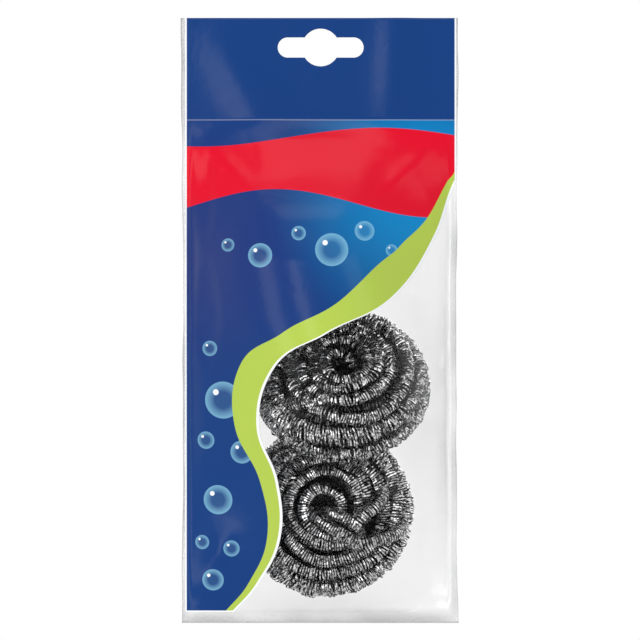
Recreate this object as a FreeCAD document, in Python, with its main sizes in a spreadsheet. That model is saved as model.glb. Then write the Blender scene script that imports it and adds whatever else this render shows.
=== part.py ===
import FreeCAD, Part
import math
import os

import Sketcher

# A hang bag of three spiral pot scrubbers.
# Two sheets of film are welded together round their edges. The top is a flat header with a peg slot,
# and the pouch below it bulges over three scrubbers, each wound from one long curled steel strand.
# The scrubbers lie loose in the pouch, leaning on each other like shingles.
# Frame: millimetres, origin at the middle of the peg slot, +Z up, the printed front faces -Y.

V = FreeCAD.Vector

SIZES = {
    # scrubber: a flattened ball with a rounded rim and a low crown on each side
    "scrubber_diameter": 66.0,
    "rim_radius": 13.0,
    "crown_rise": 4.0,
    # strand: the curled steel tape, as thick as its curls
    "strand_diameter": 5.0,
    "turn_gap": 0.8,
    "bend_ease": 0.2,
    "eye_ease": 2.2,
    # inner layers: what the outer turns are wound over
    "layer_gap": 0.3,
    "tuck_ease": 2.3,
    # how the three lie in the pouch
    "lower_lean_degrees": 8.0,
    "lower_side": 2.0,
    "lower_back": 6.0,
    "middle_lean_degrees": 40.0,
    "middle_side": 8.0,
    "middle_back": -7.0,
    "upper_lean_degrees": 38.0,
    "upper_side": -5.0,
    "upper_back": -5.0,
    "rest_gap": 0.3,
    "lift_play": 3.0,
    # film and pouch
    "film_thickness": 0.3,
    "film_ease": 0.8,
    "weld_mouth": 0.3,
    "weld_lap": 1.0,
    "crest_share": 0.8,
    "side_room": 8.0,
    "side_weld": 3.0,
    "top_weld": 1.0,
    "top_room": 13.0,
    "bottom_room": 5.0,
    "bottom_weld": 4.0,
    # header and its peg slot
    "header_height": 38.0,
    "header_thickness": 0.5,
    "slot_drop": 11.0,
    "slot_width": 32.0,
    "slot_arm_height": 7.5,
    "slot_eye_diameter": 14.0,
}

# Counts: cross-sections that the pouch is drawn through, slices in which it is measured,
# and rings and spokes of points on a scrubber.
STATIONS = 15
SLICES = 72
RINGS = 40
SPOKES = 60

# Searches stop when a gap is known to this share of itself, and no cross-section is deeper than this share
# of the way from its crest to the nearer weld.
SEARCH_SHARE = 0.03
DEEPEST_SHARE = 1.8

# Headings this close, in radians, count as one.
SAME_HEADING = 1e-6

SCRUBBERS = ("lower", "middle", "upper")


# Document and spreadsheets


def fill_sheet(doc, name, values):
    """A spreadsheet with one named cell for each value."""
    sheet = doc.addObject("Spreadsheet::Sheet", name)
    for row, (alias, value) in enumerate(values.items(), start=1):
        sheet.set(f"A{row}", alias)
        sheet.set(f"B{row}", repr(float(value)))
        sheet.setAlias(f"B{row}", alias)
    doc.recompute()
    return sheet


doc = FreeCAD.newDocument("scrubber_pack")
sizes = fill_sheet(doc, "sizes", SIZES)


def size(alias):
    """The value of one driving dimension, read from the sheet."""
    return float(sizes.get(alias))


# Scrubber outline
# Half of the section is a crown arc about a point on the axis, then a rim arc tangent to it.

half_wide = size("scrubber_diameter") / 2
rim_radius = size("rim_radius")
half_thick = rim_radius + size("crown_rise")
rim_centre = half_wide - rim_radius
crown_radius = (rim_centre**2 + half_thick**2 - rim_radius**2) / (2 * size("crown_rise"))
crown_drop = crown_radius - half_thick
crown_angle = math.atan2(rim_centre, crown_drop)

strand_radius = size("strand_diameter") / 2
tuck_bend = size("strand_diameter") + size("bend_ease")
tuck_top = half_thick - strand_radius - tuck_bend
tuck_floor = tuck_top - size("strand_diameter")
eye_radius = 2 * tuck_bend + size("eye_ease")


def outline_length(inset):
    """Length of the section's outline from pole to pole, drawn inside the outer one by inset."""
    crown = (crown_radius - inset) * crown_angle
    rim = (rim_radius - inset) * (math.pi - 2 * crown_angle)
    return 2 * crown + rim


def outline_point(along, inset):
    """(distance from the axis, height) of the point that far along the outline from the front pole."""
    crown = (crown_radius - inset) * crown_angle
    rim = (rim_radius - inset) * (math.pi - 2 * crown_angle)
    if along > crown + rim:
        radius, height = outline_point(2 * crown + rim - along, inset)
        return radius, -height
    if along > crown:
        angle = crown_angle + (along - crown) / (rim_radius - inset)
        reach = rim_radius - inset
        return rim_centre + reach * math.sin(angle), reach * math.cos(angle)
    angle = along / (crown_radius - inset)
    reach = crown_radius - inset
    return reach * math.sin(angle), reach * math.cos(angle) - crown_drop


def outside(point):
    """How far a point, in a scrubber's own frame, lies outside the scrubber's outline."""
    radius = math.hypot(point.x, point.y)
    height = abs(point.z)
    if math.atan2(radius, height + crown_drop) < crown_angle:
        return math.hypot(radius, height + crown_drop) - crown_radius
    return math.hypot(radius - rim_centre, height) - rim_radius


def outline_cloud():
    """Points all over a scrubber's outline, in its own frame."""
    points = []
    for ring in range(RINGS + 1):
        radius, height = outline_point(outline_length(0) * ring / RINGS, 0)
        for spoke in range(SPOKES):
            turn = 2 * math.pi * spoke / SPOKES
            points.append(V(radius * math.cos(turn), radius * math.sin(turn), height))
    return points


# How the scrubbers rest
# Each leans back by its own angle and is lowered until it rests on the one below.

cloud = outline_cloud()


def pose(name, height):
    """Placement of a scrubber: its front pole faces -Y and leans up."""
    base = V(size(f"{name}_side"), size(f"{name}_back"), height)
    return FreeCAD.Placement(base, FreeCAD.Rotation(V(1, 0, 0), 90 - size(f"{name}_lean_degrees")))


def clearance(upper, lower):
    """Least distance between two scrubbers, measured on points."""
    step = lower.inverse().multiply(upper)
    return min(outside(step.multVec(point)) for point in cloud)


def rest_height(name, below):
    """Height at which a scrubber rests on those below it, found by halving."""
    low = below[-1].Base.z
    high = low + 2 * size("scrubber_diameter")
    while high - low > size("rest_gap") * SEARCH_SHARE:
        middle = (low + high) / 2
        if min(clearance(pose(name, middle), lower) for lower in below) > size("rest_gap"):
            high = middle
        else:
            low = middle
    return high


stack = [pose("lower", 0)]
for scrubber in SCRUBBERS[1:]:
    stack.append(pose(scrubber, rest_height(scrubber, stack)))

lift_total = size("lift_play") * len(SCRUBBERS)
pouch_top = size("slot_drop") - size("header_height") - size("top_weld")
stack_top = max(stack[-1].multVec(point).z for point in cloud)
stack_shift = pouch_top - size("top_room") - lift_total - stack_top
poses = {}
for scrubber, placed in zip(SCRUBBERS, stack):
    poses[scrubber] = FreeCAD.Placement(placed.Base + V(0, 0, stack_shift), placed.Rotation)


# Pouch
# At every height each sheet runs straight from one side weld to a rounded crest and straight back to the
# other weld, and from the header down it is taut, so it bridges the hollows between the scrubbers.
# It clears them where they rest and where they can be lifted to.

placed_clouds = []
for number, scrubber in enumerate(SCRUBBERS, start=1):
    points = [poses[scrubber].multVec(point) for point in cloud]
    raised = V(0, 0, number * size("lift_play"))
    placed_clouds += points + [point + raised for point in points]

pouch_half_width = max(abs(point.x) for point in placed_clouds) + size("side_room")
pouch_bottom = min(point.z for point in placed_clouds) - size("bottom_room")
pouch_height = pouch_top - pouch_bottom


def between(value, pairs):
    """Straight-line reading of a table of (key, value) pairs in rising order of key."""
    for (low, low_value), (high, high_value) in zip(pairs, pairs[1:]):
        if value <= high:
            share = (value - low) / (high - low)
            return low_value + (high_value - low_value) * share
    return pairs[-1][1]


def crest_at(height):
    """Where across the bag the crest lies: over the scrubber at that height, less at the welds."""
    pairs = [(pouch_bottom, size("lower_side") / 2)]
    pairs += [(poses[name].Base.z, size(f"{name}_side")) for name in SCRUBBERS]
    pairs.append((pouch_top, size("upper_side") / 2))
    return between(height, pairs)


def crest_radius(half_width, crest, depth):
    """Radius of the crest: a share of the arc that would run from the crest to the nearer weld."""
    reach = half_width - abs(crest)
    return size("crest_share") * (reach**2 + depth**2) / (2 * depth)


def flank(half_width, crest, depth):
    """Slope angle of the straight side from the left weld to the crest, and its length."""
    radius = crest_radius(half_width, crest, depth)
    away = half_width + crest
    rise = depth - radius
    straight = math.sqrt(away**2 + rise**2 - radius**2)
    return math.atan2(rise, away) + math.atan2(radius, straight), straight


def section_depth(across, half_width, crest, depth):
    """How deep one cross-section is at a place across the bag."""
    left_slope, left_length = flank(half_width, crest, depth)
    right_slope, right_length = flank(half_width, -crest, depth)
    if across < left_length * math.cos(left_slope) - half_width:
        return (across + half_width) * math.tan(left_slope)
    if across > half_width - right_length * math.cos(right_slope):
        return (half_width - across) * math.tan(right_slope)
    radius = crest_radius(half_width, crest, depth)
    return depth - radius + math.sqrt(radius**2 - (across - crest) ** 2)


def needed_depth(reaches, crest):
    """Least depth of a cross-section that clears every (place across, reach) pair."""
    low = size("weld_mouth")
    high = DEEPEST_SHARE * (pouch_half_width - abs(crest))
    while high - low > size("film_ease") * SEARCH_SHARE:
        middle = (low + high) / 2
        if all(section_depth(x, pouch_half_width, crest, middle) > reach for x, reach in reaches):
            high = middle
        else:
            low = middle
    return high


def slice_needs(side):
    """(height, depth) pairs that the sheet must clear, towards the front (-1) or the back (+1)."""
    step = pouch_height / SLICES
    farthest = [{} for _ in range(SLICES)]
    for point in placed_clouds:
        row = farthest[min(SLICES - 1, int((point.z - pouch_bottom) / step))]
        column = round(point.x / step)
        if point.y * side > row.get(column, (0, 0))[1]:
            row[column] = (point.x, point.y * side)
    needs = []
    for number, row in enumerate(farthest):
        height = pouch_bottom + (number + 0.5) * step
        reaches = [(x, reach + size("film_ease")) for x, reach in row.values()]
        if reaches:
            needs.append((height, needed_depth(reaches, crest_at(height))))
    return needs


def taut_over(needs):
    """The needs that a taut sheet touches between its two welds: the rest lie below straight lines."""
    mouth = size("weld_mouth")
    taut = [(pouch_bottom, mouth)]
    for height, depth in needs + [(pouch_top, mouth)]:
        while len(taut) > 1:
            (z0, d0), (z1, d1) = taut[-2:]
            if (d1 - d0) * (height - z0) > (depth - d0) * (z1 - z0):
                break
            taut.pop()
        taut.append((height, depth))
    return taut


stations = []
for number in range(STATIONS):
    share = (1 - math.cos(math.pi * number / (STATIONS - 1))) / 2
    stations.append(pouch_top - share * pouch_height)


def station_depths(needs):
    """Depth of the sheet at each station. A straight run that would cut below a need is raised at both ends."""
    taut = taut_over(needs)
    depths = [between(station, taut) for station in stations]
    for height, depth in taut[1:-1]:
        above = max(number for number, station in enumerate(stations) if station >= height)
        share = (stations[above] - height) / (stations[above] - stations[above + 1])
        run = depths[above] + (depths[above + 1] - depths[above]) * share
        if run < depth:
            depths[above] += depth - run
            depths[above + 1] += depth - run
    return depths


pouch_values = {"pouch_half_width": pouch_half_width}
pouch_values["bag_width"] = 2 * (pouch_half_width + size("side_weld"))
pouch_values["bag_height"] = size("slot_drop") - pouch_bottom + size("bottom_weld")
for number, station in enumerate(stations):
    pouch_values[f"station_{number}"] = station
    pouch_values[f"crest_{number}"] = crest_at(station)
for side_name, side in (("front", -1), ("back", 1)):
    for number, depth in enumerate(station_depths(slice_needs(side))):
        pouch_values[f"{side_name}_depth_{number}"] = depth
pouch = fill_sheet(doc, "pouch", pouch_values)


# Sketch helpers


def origin_plane(body, role):
    """One of a body's own origin planes."""
    return next(feature for feature in body.Origin.OriginFeatures if feature.Role == role)


def sketch_on(body, name, role):
    """An empty sketch on one of the body's origin planes."""
    sketch = body.newObject("Sketcher::SketchObject", name)
    sketch.AttachmentSupport = [(origin_plane(body, role), "")]
    sketch.MapMode = "FlatFace"
    return sketch


def bind(sketch, kind, places, value, formula):
    """Adds one dimension to a sketch and ties it to a formula of sheet cells."""
    number = sketch.addConstraint(Sketcher.Constraint(kind, *places, value))
    sketch.setExpression(f"Constraints[{number}]", formula)


def draw_sheet_outline(sketch, width, height, width_formula, height_formula):
    """A rectangle centred on the slot's middle line, hung from the bag's top edge."""
    top = size("slot_drop")
    corners = [
        V(-width / 2, top, 0),
        V(width / 2, top, 0),
        V(width / 2, top - height, 0),
        V(-width / 2, top - height, 0),
    ]
    for start, end in zip(corners, corners[1:] + corners[:1]):
        sketch.addGeometry(Part.LineSegment(start, end), False)
    for side in range(4):
        sketch.addConstraint(Sketcher.Constraint("Coincident", side, 2, (side + 1) % 4, 1))
    sketch.addConstraint(Sketcher.Constraint("Vertical", 1))
    sketch.addConstraint(Sketcher.Constraint("Horizontal", 2))
    sketch.addConstraint(Sketcher.Constraint("Vertical", 3))
    sketch.addConstraint(Sketcher.Constraint("Symmetric", 0, 1, 0, 2, -2))
    bind(sketch, "DistanceX", (0, 1, 0, 2), width, width_formula)
    bind(sketch, "DistanceY", (-1, 1, 0, 1), top, "sizes.slot_drop")
    bind(sketch, "DistanceY", (1, 2, 1, 1), height, height_formula)


def draw_pouch_section(sketch, side, wall, number, side_name):
    """Straight side, rounded crest, straight side, and the straight line between the welds.

    With a wall it is the film's outer face, which runs a little way over the side welds.
    """
    half_width = pouch_half_width + (size("weld_lap") if wall else 0)
    crest = pouch_values[f"crest_{number}"]
    depth = pouch_values[f"{side_name}_depth_{number}"] + wall
    radius = crest_radius(half_width, crest, depth)
    left_slope, left_length = flank(half_width, crest, depth)
    right_slope, right_length = flank(half_width, -crest, depth)
    left_weld = V(-half_width, 0, 0)
    right_weld = V(half_width, 0, 0)
    left_end = left_weld + V(math.cos(left_slope), side * math.sin(left_slope), 0) * left_length
    right_end = right_weld + V(-math.cos(right_slope), side * math.sin(right_slope), 0) * right_length
    circle = Part.Circle(V(crest, side * (depth - radius), 0), V(0, 0, 1), radius)
    if side > 0:
        swing = (math.pi / 2 - right_slope, math.pi / 2 + left_slope)
        start, end = right_end, left_end
        first, last = right_weld, left_weld
    else:
        swing = (-math.pi / 2 - left_slope, right_slope - math.pi / 2)
        start, end = left_end, right_end
        first, last = left_weld, right_weld
    sketch.addGeometry(Part.LineSegment(first, start), False)
    sketch.addGeometry(Part.ArcOfCircle(circle, *swing), False)
    sketch.addGeometry(Part.LineSegment(end, last), False)
    sketch.addGeometry(Part.LineSegment(last, first), False)
    sketch.addGeometry(Part.Point(V(crest, side * depth, 0)), True)
    sketch.addConstraint(Sketcher.Constraint("Tangent", 0, 2, 1, 1))
    sketch.addConstraint(Sketcher.Constraint("Tangent", 1, 2, 2, 1))
    sketch.addConstraint(Sketcher.Constraint("Coincident", 2, 2, 3, 1))
    sketch.addConstraint(Sketcher.Constraint("Coincident", 3, 2, 0, 1))
    sketch.addConstraint(Sketcher.Constraint("PointOnObject", 3, 1, -1))
    sketch.addConstraint(Sketcher.Constraint("Symmetric", 3, 1, 3, 2, -2))
    sketch.addConstraint(Sketcher.Constraint("PointOnObject", 4, 1, 1))
    sketch.addConstraint(Sketcher.Constraint("Vertical", 4, 1, 1, 3))
    lap_formula = " + sizes.weld_lap" if wall else ""
    wall_formula = " + sizes.film_thickness" if wall else ""
    width_formula = f"(pouch.pouch_half_width{lap_formula})"
    depth_formula = f"(pouch.{side_name}_depth_{number}{wall_formula})"
    crest_formula = f"pouch.crest_{number}"
    reach_formula = f"({width_formula} - abs({crest_formula}))"
    span_formula = f"({reach_formula}^2 + {depth_formula}^2) / (2 * {depth_formula})"
    left, right = (2, 1) if side < 0 else (1, 2)
    bind(sketch, "DistanceX", (3, left, 3, right), 2 * half_width, f"2 * {width_formula}")
    bind(sketch, "DistanceX", (3, left, 1, 3), half_width + crest, f"{width_formula} + {crest_formula}")
    bind(sketch, "Radius", (1,), radius, f"sizes.crest_share * {span_formula}")
    ends = (4, 1, -1, 1) if side < 0 else (-1, 1, 4, 1)
    bind(sketch, "DistanceY", ends, depth, depth_formula)


def draw_peg_slot(sketch):
    """Two round-ended arms each side of a round eye, centred on the origin."""
    arm = size("slot_arm_height") / 2
    eye = size("slot_eye_diameter") / 2
    reach = size("slot_width") / 2 - arm
    notch = math.asin(arm / eye)
    mouth = eye * math.cos(notch)
    up = V(0, 0, 1)
    quarter = math.pi / 2
    pieces = [
        Part.ArcOfCircle(Part.Circle(V(reach, 0, 0), up, arm), -quarter, quarter),
        Part.LineSegment(V(reach, arm, 0), V(mouth, arm, 0)),
        Part.ArcOfCircle(Part.Circle(V(0, 0, 0), up, eye), notch, math.pi - notch),
        Part.LineSegment(V(-mouth, arm, 0), V(-reach, arm, 0)),
        Part.ArcOfCircle(Part.Circle(V(-reach, 0, 0), up, arm), quarter, 3 * quarter),
        Part.LineSegment(V(-reach, -arm, 0), V(-mouth, -arm, 0)),
        Part.ArcOfCircle(Part.Circle(V(0, 0, 0), up, eye), math.pi + notch, 2 * math.pi - notch),
        Part.LineSegment(V(mouth, -arm, 0), V(reach, -arm, 0)),
    ]
    for piece in pieces:
        sketch.addGeometry(piece, False)
    for before, after in ((0, 1), (3, 4), (4, 5), (7, 0)):
        sketch.addConstraint(Sketcher.Constraint("Tangent", before, 2, after, 1))
    for before, after in ((1, 2), (2, 3), (5, 6), (6, 7)):
        sketch.addConstraint(Sketcher.Constraint("Coincident", before, 2, after, 1))
    for line in (1, 3, 5, 7):
        sketch.addConstraint(Sketcher.Constraint("Horizontal", line))
    for eye_arc in (2, 6):
        sketch.addConstraint(Sketcher.Constraint("Coincident", eye_arc, 3, -1, 1))
    sketch.addConstraint(Sketcher.Constraint("Equal", 2, 6))
    sketch.addConstraint(Sketcher.Constraint("Equal", 0, 4))
    sketch.addConstraint(Sketcher.Constraint("PointOnObject", 0, 3, -1))
    sketch.addConstraint(Sketcher.Constraint("Symmetric", 0, 3, 4, 3, -2))
    bind(sketch, "Radius", (2,), eye, "sizes.slot_eye_diameter / 2")
    bind(sketch, "Radius", (0,), arm, "sizes.slot_arm_height / 2")
    reach_formula = "sizes.slot_width - sizes.slot_arm_height"
    bind(sketch, "DistanceX", (4, 3, 0, 3), 2 * reach, reach_formula)


# Film sheets


def pouch_sections(body, label, side_name, side, wall):
    """The pouch's cross-sections on one side, of its hollow or, grown by a wall, of the film's outer face."""
    sections = []
    for number in range(STATIONS):
        sketch = sketch_on(body, f"{label}_{number}", "XY_Plane")
        sketch.setExpression("AttachmentOffset.Base.z", f"pouch.station_{number}")
        draw_pouch_section(sketch, side, wall, number, side_name)
        sections.append(sketch)
    doc.recompute()
    return sections


def pad_outline(body, name, height, height_formula, thickness_formula, back):
    """A flat rectangle of film on the weld plane, as wide as the bag."""
    sketch = sketch_on(body, f"{name}_outline", "XZ_Plane")
    draw_sheet_outline(sketch, pouch_values["bag_width"], height, "pouch.bag_width", height_formula)
    pad = body.newObject("PartDesign::Pad", name)
    pad.Profile = sketch
    pad.setExpression("Length", thickness_formula)
    pad.Reversed = back
    doc.recompute()
    return pad


def loft_through(body, kind, name, sections):
    """A skin stretched straight from section to section, added or taken away."""
    loft = body.newObject(f"PartDesign::{kind}", name)
    loft.Profile = sections[0]
    loft.Sections = sections[1:]
    loft.Ruled = True
    doc.recompute()
    return loft


def make_film(label, side_name, side):
    """One sheet of the bag: flat header and welded edges, a bulged pouch, and the peg slot."""
    body = doc.addObject("PartDesign::Body", label)
    body.Label = label
    back = side > 0
    pad_outline(
        body, f"{label}_sheet", pouch_values["bag_height"], "pouch.bag_height", "sizes.film_thickness", back
    )
    pad_outline(
        body, f"{label}_header", size("header_height"), "sizes.header_height", "sizes.header_thickness", back
    )
    outer = pouch_sections(body, f"{label}_outer", side_name, side, size("film_thickness"))
    loft_through(body, "AdditiveLoft", f"{label}_bulge", outer)
    inner = pouch_sections(body, f"{label}_inner", side_name, side, 0)
    loft_through(body, "SubtractiveLoft", f"{label}_hollow", inner)
    slot = sketch_on(body, f"{label}_slot_outline", "XZ_Plane")
    draw_peg_slot(slot)
    before = body.Shape.Volume
    pocket = body.newObject("PartDesign::Pocket", f"{label}_slot")
    pocket.Profile = slot
    pocket.Type = "ThroughAll"
    pocket.Midplane = True
    doc.recompute()
    if body.Shape.Volume >= before:
        raise RuntimeError(f"{label}: the peg slot cut nothing")
    return body


front_film = make_film("front_film", "front", -1)
back_film = make_film("back_film", "back", 1)


# Inner layers of a scrubber
# A flattened ball under the outer turns, with a tuck hole on each side for the strand's ends.


def draw_layer_section(sketch):
    """Half the section of the inner layers, against the axis."""
    inset = size("strand_diameter") + size("layer_gap")
    crown = crown_radius - inset
    rim = rim_radius - inset
    tuck = strand_radius + size("tuck_ease")
    edge = math.asin(tuck / crown)
    lip = crown * math.cos(edge) - crown_drop
    out = V(0, 0, 1)
    quarter = math.pi / 2
    shoulder = quarter - crown_angle
    pieces = [
        Part.LineSegment(V(0, -tuck_floor, 0), V(0, tuck_floor, 0)),
        Part.LineSegment(V(0, tuck_floor, 0), V(tuck, tuck_floor, 0)),
        Part.LineSegment(V(tuck, tuck_floor, 0), V(tuck, lip, 0)),
        Part.ArcOfCircle(Part.Circle(V(0, -crown_drop, 0), out, crown), shoulder, quarter - edge),
        Part.ArcOfCircle(Part.Circle(V(rim_centre, 0, 0), out, rim), -shoulder, shoulder),
        Part.ArcOfCircle(Part.Circle(V(0, crown_drop, 0), out, crown), edge - quarter, -shoulder),
        Part.LineSegment(V(tuck, -lip, 0), V(tuck, -tuck_floor, 0)),
        Part.LineSegment(V(tuck, -tuck_floor, 0), V(0, -tuck_floor, 0)),
    ]
    for piece in pieces:
        sketch.addGeometry(piece, False)
    for before, before_end, after, after_end in (
        (0, 2, 1, 1),
        (1, 2, 2, 1),
        (2, 2, 3, 2),
        (5, 1, 6, 1),
        (6, 2, 7, 1),
        (7, 2, 0, 1),
    ):
        sketch.addConstraint(Sketcher.Constraint("Coincident", before, before_end, after, after_end))
    sketch.addConstraint(Sketcher.Constraint("Tangent", 3, 1, 4, 2))
    sketch.addConstraint(Sketcher.Constraint("Tangent", 4, 1, 5, 2))
    sketch.addConstraint(Sketcher.Constraint("PointOnObject", 0, 1, -2))
    for line in (0, 2, 6):
        sketch.addConstraint(Sketcher.Constraint("Vertical", line))
    for line in (1, 7):
        sketch.addConstraint(Sketcher.Constraint("Horizontal", line))
    for crown_arc in (3, 5):
        sketch.addConstraint(Sketcher.Constraint("PointOnObject", crown_arc, 3, -2))
    sketch.addConstraint(Sketcher.Constraint("PointOnObject", 4, 3, -1))
    sketch.addConstraint(Sketcher.Constraint("Equal", 1, 7))
    sketch.addConstraint(Sketcher.Constraint("Equal", 3, 5))
    half = "(sizes.rim_radius + sizes.crown_rise)"
    centre = "(sizes.scrubber_diameter / 2 - sizes.rim_radius)"
    cover = "(sizes.strand_diameter + sizes.layer_gap)"
    sweep = f"({centre}^2 + {half}^2 - sizes.rim_radius^2) / (2 * sizes.crown_rise)"
    strand_and_bend = "(2 * sizes.strand_diameter + sizes.bend_ease)"
    floor = f"{half} - sizes.strand_diameter / 2 - {strand_and_bend}"
    bind(sketch, "DistanceY", (-1, 1, 0, 2), tuck_floor, floor)
    bind(sketch, "DistanceY", (0, 1, -1, 1), tuck_floor, floor)
    bind(sketch, "DistanceX", (1, 1, 1, 2), tuck, "sizes.strand_diameter / 2 + sizes.tuck_ease")
    bind(sketch, "Radius", (3,), crown, f"{sweep} - {cover}")
    bind(sketch, "Radius", (4,), rim, f"sizes.rim_radius - {cover}")
    bind(sketch, "DistanceX", (-1, 1, 4, 3), rim_centre, centre)


def make_inner_layers(name):
    """The inner layers of one scrubber, turned about its axis."""
    label = f"{name}_inner_layers"
    body = doc.addObject("PartDesign::Body", label)
    body.Label = label
    sketch = sketch_on(body, f"{label}_section", "XZ_Plane")
    draw_layer_section(sketch)
    turned = body.newObject("PartDesign::Revolution", f"{label}_turned")
    turned.Profile = sketch
    turned.ReferenceAxis = (sketch, ["V_Axis"])
    turned.Angle = 360
    doc.recompute()
    body.Placement = poses[name]
    return body


# Outer turns of a scrubber
# One unbroken strand: up out of the front tuck hole, out over the crown in a steady spiral, round the rim,
# back in over the other crown and down into the rear tuck hole.

QUARTER = math.pi / 2
SLOPE_STEP_SHARE = 0.001


def unit(vector):
    """The vector scaled to a length of 1."""
    return vector * (1 / vector.Length)


def arc_edge(start, heading, end):
    """A circular arc, or a line, that leaves start along heading and ends at end. Also gives its radius."""
    chord = end - start
    lean = heading.getAngle(chord)
    if lean < SAME_HEADING:
        return Part.LineSegment(start, end).toShape(), math.inf
    aside = heading - unit(chord) * heading.dot(unit(chord))
    top = (start + end) * 0.5 + unit(aside) * (chord.Length / 2 * math.tan(lean / 2))
    return Part.Arc(start, top, end).toShape(), chord.Length / (2 * math.sin(lean))


def biarc(start, heading, end, arrival):
    """Two arcs that join smoothly and run from one point and heading to another, or one straight line."""
    span = end - start
    if max(heading.getAngle(span), arrival.getAngle(span)) < SAME_HEADING:
        return [Part.LineSegment(start, end).toShape()], math.inf
    both = heading + arrival
    square = both.dot(both) - 4
    half = span.dot(both)
    reach = (half - math.sqrt(half * half - square * span.dot(span))) / square
    joint = (start + heading * reach + end - arrival * reach) * 0.5
    first, first_radius = arc_edge(start, heading, joint)
    bend = unit(joint - start)
    second, second_radius = arc_edge(joint, bend * (2 * heading.dot(bend)) - heading, end)
    return [first, second], min(first_radius, second_radius)


def spiral_point(turn, start_along, pitch):
    """Point and heading of the spiral after so many radians of turn."""

    def place(angle):
        radius, height = outline_point(start_along + pitch * angle / (2 * math.pi), strand_radius)
        return V(radius * math.cos(angle), radius * math.sin(angle), height)

    nudge = SLOPE_STEP_SHARE * QUARTER
    return place(turn), unit(place(turn + nudge) - place(turn - nudge))


def tuck_ends(quarters):
    """The strand's two ends: square up out of a tuck hole, over in a bend, and round to meet the spiral."""
    last = quarters * QUARTER
    out = V(math.cos(last), math.sin(last), 0)
    front = [
        (V(0, 0, tuck_floor), V(0, 0, 1)),
        (V(0, 0, tuck_top), V(0, 0, 1)),
        (V(tuck_bend, 0, tuck_top + tuck_bend), V(1, 0, 0)),
    ]
    back = [
        (out * tuck_bend - V(0, 0, tuck_top + tuck_bend), out * -1),
        (V(0, 0, -tuck_top), V(0, 0, 1)),
        (V(0, 0, -tuck_floor), V(0, 0, 1)),
    ]
    return front, back


def strand_path():
    """Edges of the strand's centre line, their tightest radius, and the number of turns."""
    reach = crown_radius - strand_radius
    start_along = reach * math.asin(eye_radius / reach)
    room = outline_length(strand_radius) - 2 * start_along
    spacing = size("strand_diameter") + size("turn_gap")
    quarters = math.floor(4 * room / spacing)
    pitch = 4 * room / quarters
    front, back = tuck_ends(quarters)
    spiral = [spiral_point(quarter * QUARTER, start_along, pitch) for quarter in range(1, quarters)]
    route = front + spiral + back
    edges = []
    tightest = math.inf
    for (here, heading), (there, arrival) in zip(route, route[1:]):
        pieces, radius = biarc(here, heading, there, arrival)
        edges += pieces
        tightest = min(tightest, radius)
    return edges, tightest, quarters / 4


def least_self_gap(edges):
    """Least distance between the strand and a neighbouring turn of itself, measured on points."""
    spacing = strand_radius / 2
    points = []
    travelled = []
    length = 0
    for edge in edges:
        for point in edge.discretize(Number=max(3, math.ceil(edge.Length / spacing))):
            if points:
                length += (point - points[-1]).Length
            points.append(point)
            travelled.append(length)
    apart = 2 * size("strand_diameter")
    nearest = math.inf
    for index, point in enumerate(points):
        for other in range(index + 1, len(points)):
            if travelled[other] - travelled[index] > apart:
                nearest = min(nearest, (points[other] - point).Length)
    return nearest - size("strand_diameter")


def strand_solid():
    """The outer turns as one tube, in the scrubber's own frame."""
    edges, tightest, turns = strand_path()
    spine = Part.Wire(edges)
    profile = Part.Wire(Part.makeCircle(strand_radius, V(0, 0, tuck_floor), V(0, 0, 1)))
    sweep = Part.BRepOffsetAPI.MakePipeShell(spine)
    sweep.add(profile)
    sweep.build()
    sweep.makeSolid()
    solid = sweep.shape()
    ideal = math.pi * strand_radius**2 * spine.Length
    print(f"strand: {turns:.2f} turns, {spine.Length:.0f} mm long, tightest bend {tightest:.2f} mm")
    print(f"strand: least gap to itself {least_self_gap(edges):.2f} mm")
    print(f"strand: volume {solid.Volume:.0f} mm3, section times length {ideal:.0f} mm3")
    return solid


def make_outer_turns(name, solid):
    """The outer turns of one scrubber, where it rests."""
    label = f"{name}_outer_turns"
    turns = doc.addObject("Part::Feature", label)
    turns.Label = label
    turns.Shape = solid
    turns.Placement = poses[name]
    return turns


strand = strand_solid()
sub_parts = [front_film, back_film]
for scrubber in SCRUBBERS:
    sub_parts.append(make_inner_layers(scrubber))
    sub_parts.append(make_outer_turns(scrubber, strand))
doc.recompute()


# Checks and files

for item in doc.Objects:
    if "Invalid" in item.State or "Error" in item.State:
        raise RuntimeError(f"{item.Label} failed: {item.State}")

os.makedirs("parts", exist_ok=True)
for sub_part in sub_parts:
    shape = sub_part.Shape
    if shape.isNull() or not shape.isValid() or not shape.Solids:
        raise RuntimeError(f"{sub_part.Label} has no valid solid")
    shape.exportStep(f"parts/{sub_part.Label}.step")
    box = shape.BoundBox
    print(
        f"{sub_part.Label}: {len(shape.Solids)} solid, {shape.Volume:.0f} mm3,"
        f" x {box.XMin:.1f} to {box.XMax:.1f}, y {box.YMin:.1f} to {box.YMax:.1f},"
        f" z {box.ZMin:.1f} to {box.ZMax:.1f}"
    )
for scrubber in SCRUBBERS:
    print(f"{scrubber}: {poses[scrubber].Base}, leans {size(scrubber + '_lean_degrees'):.0f} degrees")
print({alias: round(value, 2) for alias, value in pouch_values.items()})
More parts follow.
